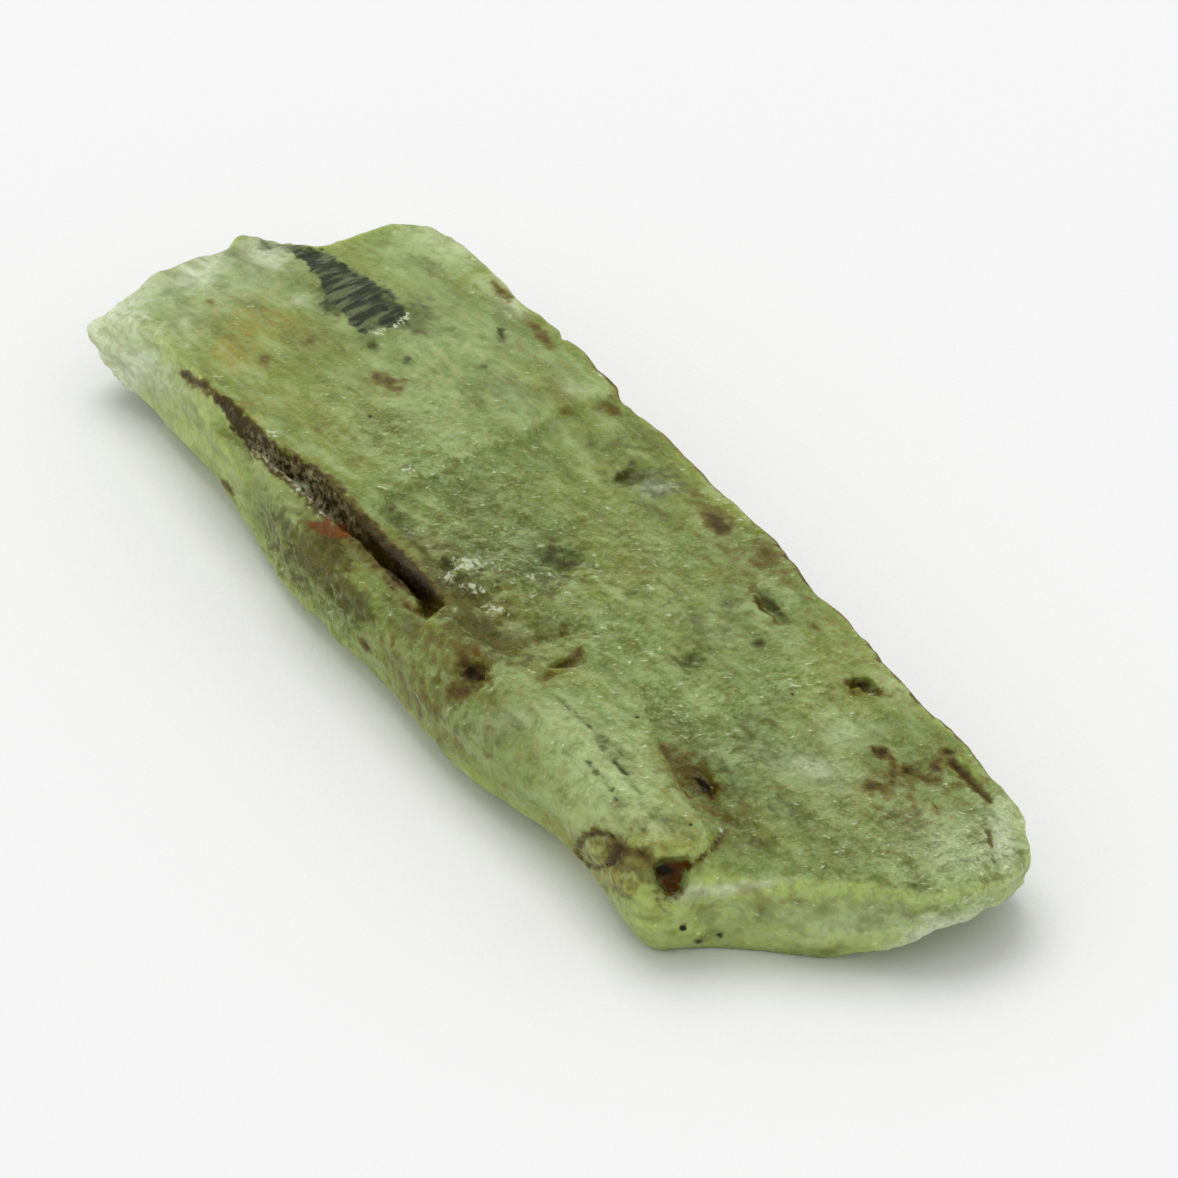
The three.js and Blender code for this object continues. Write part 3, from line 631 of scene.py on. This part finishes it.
# the stone's material; its painted relief is lit from the lamp's side
FROM_LAMP = (0.96, -0.27)
kyanite = bpy.data.materials.new("green_kyanite")
kyanite.use_nodes = True
tree = kyanite.node_tree
tree.nodes.clear()


def node(kind, inputs=None, **settings):
    """Adds a shader node; an input is a value or another node's output."""
    made = tree.nodes.new(kind)
    for name, value in settings.items():
        setattr(made, name, value)
    for name, value in (inputs or {}).items():
        if isinstance(value, bpy.types.NodeSocket):
            tree.links.new(value, made.inputs[name])
        else:
            made.inputs[name].default_value = value
    return made


def strength_of(finish_name):
    """How strong a finish is at each place on the crystal."""
    return node("ShaderNodeAttribute", attribute_name=finish_name).outputs["Fac"]


def maths(operation, first, second=0.0, third=0.0):
    """One sum, difference, product or the like."""
    return node("ShaderNodeMath", {0: first, 1: second, 2: third}, operation=operation).outputs[0]


def faded(value, low, high, least=0.0, most=1.0):
    """Takes a value from low..high to least..most, gently at both ends."""
    return node("ShaderNodeMapRange", {"Value": value, 1: low, 2: high, 3: least, 4: most},
                interpolation_type="SMOOTHSTEP").outputs[0]


def noise(where, size, detail, rough, longer=(1, 1, 1), turn=0, shift=0, ahead=0.0):
    """Noise with lumps of one size, longer along turned axes; ahead moves the look-up towards the lamp."""
    laid = node("ShaderNodeMapping", {
        "Vector": where,
        "Scale": longer,
        "Rotation": (0, 0, math.radians(turn)),
        "Location": (shift + FROM_LAMP[0] * ahead, shift * 0.7 + FROM_LAMP[1] * ahead, shift * 0.3),
    }, vector_type="TEXTURE")
    return node("ShaderNodeTexNoise", {
        "Vector": laid.outputs[0],
        "Scale": 1 / size,
        "Detail": detail,
        "Roughness": rough,
    }).outputs[0]


def tinted(under, over, share):
    """Lays one colour over another by a share from 0 to 1."""
    return node("ShaderNodeMix", {0: share, 6: under, 7: over}, data_type="RGBA").outputs[2]


def lit(under, height, height_ahead, low, high, most, share):
    """Lightens the slopes that face the lamp and darkens those that face away."""
    slope = maths("SUBTRACT", height, height_ahead)
    under = tinted(under, DEEP_AND_SHADED, maths("MULTIPLY", faded(slope, -low, -high, most=most), share))
    return tinted(under, PALE_AND_LIT, maths("MULTIPLY", faded(slope, low, high, most=most), share))


def laid_on(finish_name, pattern, spread, low, high, wash):
    """How much of a finish shows: a soft wash where it is weak, broken patches where it is strong."""
    share = strength_of(finish_name)
    broken = maths("MULTIPLY_ADD", maths("SUBTRACT", pattern, 0.5), spread, share)
    patch = maths("MULTIPLY", faded(broken, low, high), faded(share, 0.02, 0.15))
    return maths("MAXIMUM", patch, maths("MULTIPLY", share, wash))


in_metres = node("ShaderNodeTexCoord").outputs["Object"]
place = node("ShaderNodeMapping", {"Vector": in_metres, "Scale": (1 / MM,) * 3}).outputs[0]

# the noises of the stone: clouds, mottling, torn patches, lengthwise streaks, grain and chips
# each has its size in millimetres, its detail and its roughness
CHIP_SIZE = (0.30, 0.19, 0.19)
MOTTLES = {"size": 0.45, "detail": 1, "rough": 0.55, "longer": (1.5, 0.9, 1), "turn": 10, "shift": 9}
RAGS = {"size": 0.24, "detail": 2, "rough": 0.60, "shift": 17}
cloudy = noise(place, 2.2, 1, 0.60, longer=(1.6, 1, 1), shift=3)
veiled = noise(place, 0.62, 2, 0.55, longer=(3.2, 0.9, 1), turn=6, shift=27)
mottled = noise(place, **MOTTLES)
ragged = noise(place, **RAGS)
torn = noise(place, 0.24, 1, 0.50, shift=53)
streaky = noise(place, 0.14, 1, 0.60, longer=(5, 1, 1), turn=4, shift=71)
fine = noise(place, 0.10, 1, 0.65, longer=(1.4, 1, 1), turn=12, shift=21)
ripples = noise(place, 0.09, 1, 0.60, longer=(1.8, 0.8, 1), turn=55, shift=41)
chip_cells = node("ShaderNodeMapping", {"Vector": place, "Scale": CHIP_SIZE}, vector_type="TEXTURE")
chip_tints = node("ShaderNodeTexVoronoi", {"Vector": chip_cells.outputs[0], "Scale": 1.0}, feature="F1")
chips = chip_tints.outputs["Color"]
glitter = strength_of("glitter")
chipped = maths("MULTIPLY_ADD", glitter, 0.85, 0.15)

# the colours of the stone, its stains, its inclusions and its painted light and shade, as linear red, green
# and blue
BODY = (0.226, 0.286, 0.044, 1)
COOL = (0.178, 0.268, 0.058, 1)
WARM = (0.300, 0.270, 0.058, 1)
DEEP_AND_SHADED = (0.112, 0.120, 0.014, 1)
PALE_AND_LIT = (0.460, 0.575, 0.260, 1)
GLOW_PAINT = (0.610, 0.750, 0.190, 1)
LEAF = (0.140, 0.225, 0.014, 1)
FROSTED_AND_GLOW = (0.800, 0.880, 0.640, 1)
PAINTED_GLINT = (0.780, 0.840, 0.560, 1)
CRUST_AND_GLINT = (0.560, 0.620, 0.400, 1)
DARK_PATCH_AND_SHADE = (0.050, 0.056, 0.003, 1)
AMBER = (0.155, 0.122, 0.018, 1)
BROWN = (0.058, 0.038, 0.003, 1)
OCHRE = (0.320, 0.286, 0.038, 1)
RUST = (0.160, 0.050, 0.002, 1)
BLACK_GRAIN_AND_SHADE = (0.016, 0.009, 0.001, 1)
MICA_DARK = (0.050, 0.034, 0.003, 1)
MICA_LIGHT = (0.410, 0.372, 0.210, 1)
FLAKE_DARK = (0.022, 0.027, 0.006, 1)
FLAKE_LIGHT = (0.125, 0.152, 0.060, 1)

# the body of the stone and its clouded parts, with a painted glow on its rims and flanks and painted light on
# the lit plateau, bevel and thin ends
colour = tinted(BODY, COOL, faded(cloudy, 0.40, 0.60))
painted_glow_share = maths("MULTIPLY", strength_of("painted_glow"), faded(ragged, 0.30, 0.70, least=0.67, most=0.79))
colour = tinted(colour, GLOW_PAINT, painted_glow_share)
colour = tinted(colour, LEAF, laid_on("leaf", mottled, spread=0.8, low=0.3, high=0.9, wash=0.4))
colour = tinted(colour, PALE_AND_LIT, laid_on("milky_and_lit", torn, spread=1.0, low=0.3, high=0.9, wash=0.4))
colour = tinted(colour, OCHRE, laid_on("ochre", torn, spread=1.2, low=0.3, high=0.9, wash=0.4))
colour = tinted(colour, FROSTED_AND_GLOW, laid_on("frost_and_glow", torn, spread=0.6, low=0.2, high=1.2, wash=0.35))

# the mottling, from the largest to the finest, with painted light and shade on its lumps and painted light on
# chip facets
colour = tinted(colour, DEEP_AND_SHADED, faded(veiled, 0.49, 0.32, most=0.50))
colour = tinted(colour, PALE_AND_LIT, faded(veiled, 0.51, 0.66, most=0.46))
colour = tinted(colour, WARM, faded(torn, 0.46, 0.60, most=0.30))
colour = tinted(colour, DEEP_AND_SHADED, faded(mottled, 0.46, 0.30, most=0.24))
colour = tinted(colour, PALE_AND_LIT, faded(mottled, 0.54, 0.70, most=0.21))
# painted light and shade on the lumps: lighter on the side towards the lamp, darker on the far side
mottled_ahead = noise(place, **MOTTLES, ahead=0.10)
colour = lit(colour, mottled, mottled_ahead, low=0.01, high=0.08, most=0.42, share=chipped)
ragged_ahead = noise(place, **RAGS, ahead=0.05)
colour = lit(colour, ragged, ragged_ahead, low=0.01, high=0.09, most=0.48, share=chipped)
colour = tinted(colour, DEEP_AND_SHADED, faded(streaky, 0.46, 0.30, most=0.13))
colour = tinted(colour, PALE_AND_LIT, faded(streaky, 0.54, 0.68, most=0.16))
# lighter chip cells, painted as small facets catching the light
colour = tinted(colour, PALE_AND_LIT, maths("MULTIPLY", faded(chips, 0.58, 0.80, most=0.27), chipped))
colour = tinted(colour, DEEP_AND_SHADED, maths("MULTIPLY", faded(fine, 0.47, 0.30, most=0.27), chipped))
colour = tinted(colour, PALE_AND_LIT, faded(fine, 0.55, 0.70, most=0.18))

# painted glints: small bright specks standing for light caught by facets, most of them in the rougher ground
painted_glint_spots = maths("MULTIPLY_ADD", ragged, 0.5, maths("MULTIPLY_ADD", glitter, 0.10, ripples))
colour = tinted(colour, PAINTED_GLINT, faded(painted_glint_spots, 0.97, 1.08, most=0.62))

# darker patches of the stone, with painted shade in hollows and along steps, and the dark mineral flake
# with cross-wise fractures
bands = noise(place, 0.24, 1, 0.50, longer=(0.7, 3.2, 1), turn=10, shift=5)
flake_colour = tinted(FLAKE_DARK, FLAKE_LIGHT, faded(bands, 0.44, 0.66))
colour = tinted(colour, DARK_PATCH_AND_SHADE, laid_on("dark_and_shade", torn, spread=0.8, low=0.22, high=1.00, wash=0.35))
colour = tinted(colour, flake_colour, laid_on("flake", torn, spread=0.6, low=0.35, high=0.65, wash=0))

# brown stains: amber where they are thin and dark brown where they are thick, with stray ones on hidden sides
hidden = strength_of("hidden")
stray = maths("MULTIPLY", hidden, faded(noise(place, 0.70, 2, 0.70, shift=61), 0.57, 0.70, most=0.7))
amber = maths("MAXIMUM", stray, laid_on("brown", torn, spread=0.7, low=0.20, high=0.80, wash=0.30))
colour = tinted(colour, AMBER, amber)
colour = tinted(colour, BROWN, laid_on("brown", torn, spread=0.6, low=0.58, high=1.05, wash=0))

# the open groove: brown at its lips, nearly black inside, with grey mica on its floor
mica = maths("MULTIPLY", strength_of("mica"), faded(noise(place, 0.14, 1, 0.70, shift=31), 0.36, 0.66))
groove_colour = tinted(MICA_DARK, MICA_LIGHT, mica)
colour = tinted(colour, BROWN, laid_on("groove", torn, spread=0.8, low=0.10, high=0.55, wash=0))
colour = tinted(colour, groove_colour, laid_on("groove", torn, spread=0.9, low=0.40, high=0.85, wash=0))

# what lies on top: rust, black grains, black in the hole and hollows that is partly painted shade, and white
# crumbs with a few painted glints among them
colour = tinted(colour, RUST, laid_on("rust", torn, spread=0.9, low=0.30, high=0.85, wash=0.2))
colour = tinted(colour, BLACK_GRAIN_AND_SHADE, laid_on("black_and_shade", torn, spread=0.6, low=0.30, high=0.80, wash=0.1))
colour = tinted(colour, CRUST_AND_GLINT, laid_on("crust_and_glints", fine, spread=2.4, low=0.50, high=1.05, wash=0.1))

# the surface: a ragged grain all over, with small broken facets and ripples in the rougher ground
CHIP_RELIEF = 0.40
GRAIN_RELIEF = 0.8
RIPPLE_RELIEF = 0.5
RELIEF_DEPTH = 0.15 * MM
GLOW_DEPTH = 1.7 * MM
relief = maths("MULTIPLY_ADD", maths("MULTIPLY", chips, chipped), CHIP_RELIEF,
               maths("MULTIPLY", ragged, GRAIN_RELIEF))
relief = maths("MULTIPLY_ADD", maths("MULTIPLY", ripples, glitter), RIPPLE_RELIEF, relief)
bump = node("ShaderNodeBump", {"Height": relief, "Strength": 1.0, "Distance": RELIEF_DEPTH})
shader = node("ShaderNodeBsdfPrincipled", {
    "Base Color": colour,
    "Roughness": faded(mottled, 0.3, 0.7, least=0.28, most=0.45),
    "IOR": 1.72,
    "Normal": bump.outputs[0],
    "Specular IOR Level": 0.05,
    "Transmission Weight": 0.12,
    "Subsurface Weight": 0.45,
    "Subsurface Radius": (0.9, 1.0, 0.45),
    "Subsurface Scale": GLOW_DEPTH,
})
inside = node("ShaderNodeVolumeAbsorption", {"Color": (0.62, 0.80, 0.30, 1), "Density": 400.0})
node("ShaderNodeOutputMaterial", {"Surface": shader.outputs[0], "Volume": inside.outputs[0]})
blade.data.materials.clear()
blade.data.materials.append(kyanite)

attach(blade, "root")
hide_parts("kyanite_crystal")


# The floor under the crystal: a plain white card with a very fine grain.
# It isn't part of the crystal.
CARD_SIZE = 3.0
CARD_GRAIN = 0.11 * MM
CARD_RELIEF = 0.03 * MM
bpy.ops.object.select_all(action="DESELECT")
bpy.ops.mesh.primitive_plane_add(size=CARD_SIZE, location=(0, 0, 0))
card = bpy.context.active_object
card.name = "white_card"
card_finish = bpy.data.materials.new("white_card")
card_finish.use_nodes = True
tree = card_finish.node_tree
tree.nodes.clear()
in_metres = node("ShaderNodeTexCoord").outputs["Object"]
card_grain = noise(in_metres, CARD_GRAIN, 2, 0.60)
card_bump = node("ShaderNodeBump", {"Height": card_grain, "Strength": 0.35, "Distance": CARD_RELIEF})
card_shader = node("ShaderNodeBsdfPrincipled", {
    "Base Color": (0.86, 0.86, 0.86, 1),
    "Roughness": 0.8,
    "Specular IOR Level": 0.2,
    "Normal": card_bump.outputs[0],
})
node("ShaderNodeOutputMaterial", {"Surface": card_shader.outputs[0]})
card.data.materials.append(card_finish)


# The light: one large soft box above and behind the crystal, in a pale room.
# It lies well outside the picture.
bpy.ops.object.light_add(type="AREA", location=(-0.28, 0.05, 0.78))
soft_box = bpy.context.active_object
soft_box.name = "soft_box"
soft_box.data.shape = "DISK"
soft_box.data.size = 0.65
soft_box.data.energy = 2.75
soft_box.rotation_euler = (soft_box.location - LOOKED_AT).to_track_quat("Z", "Y").to_euler()
room = bpy.data.worlds.new("pale_room")
room.use_nodes = True
room.node_tree.nodes["Background"].inputs["Color"].default_value = (1, 1, 1, 1)
room.node_tree.nodes["Background"].inputs["Strength"].default_value = 0.755
bpy.context.scene.world = room
bpy.context.scene.view_settings.view_transform = "Standard"
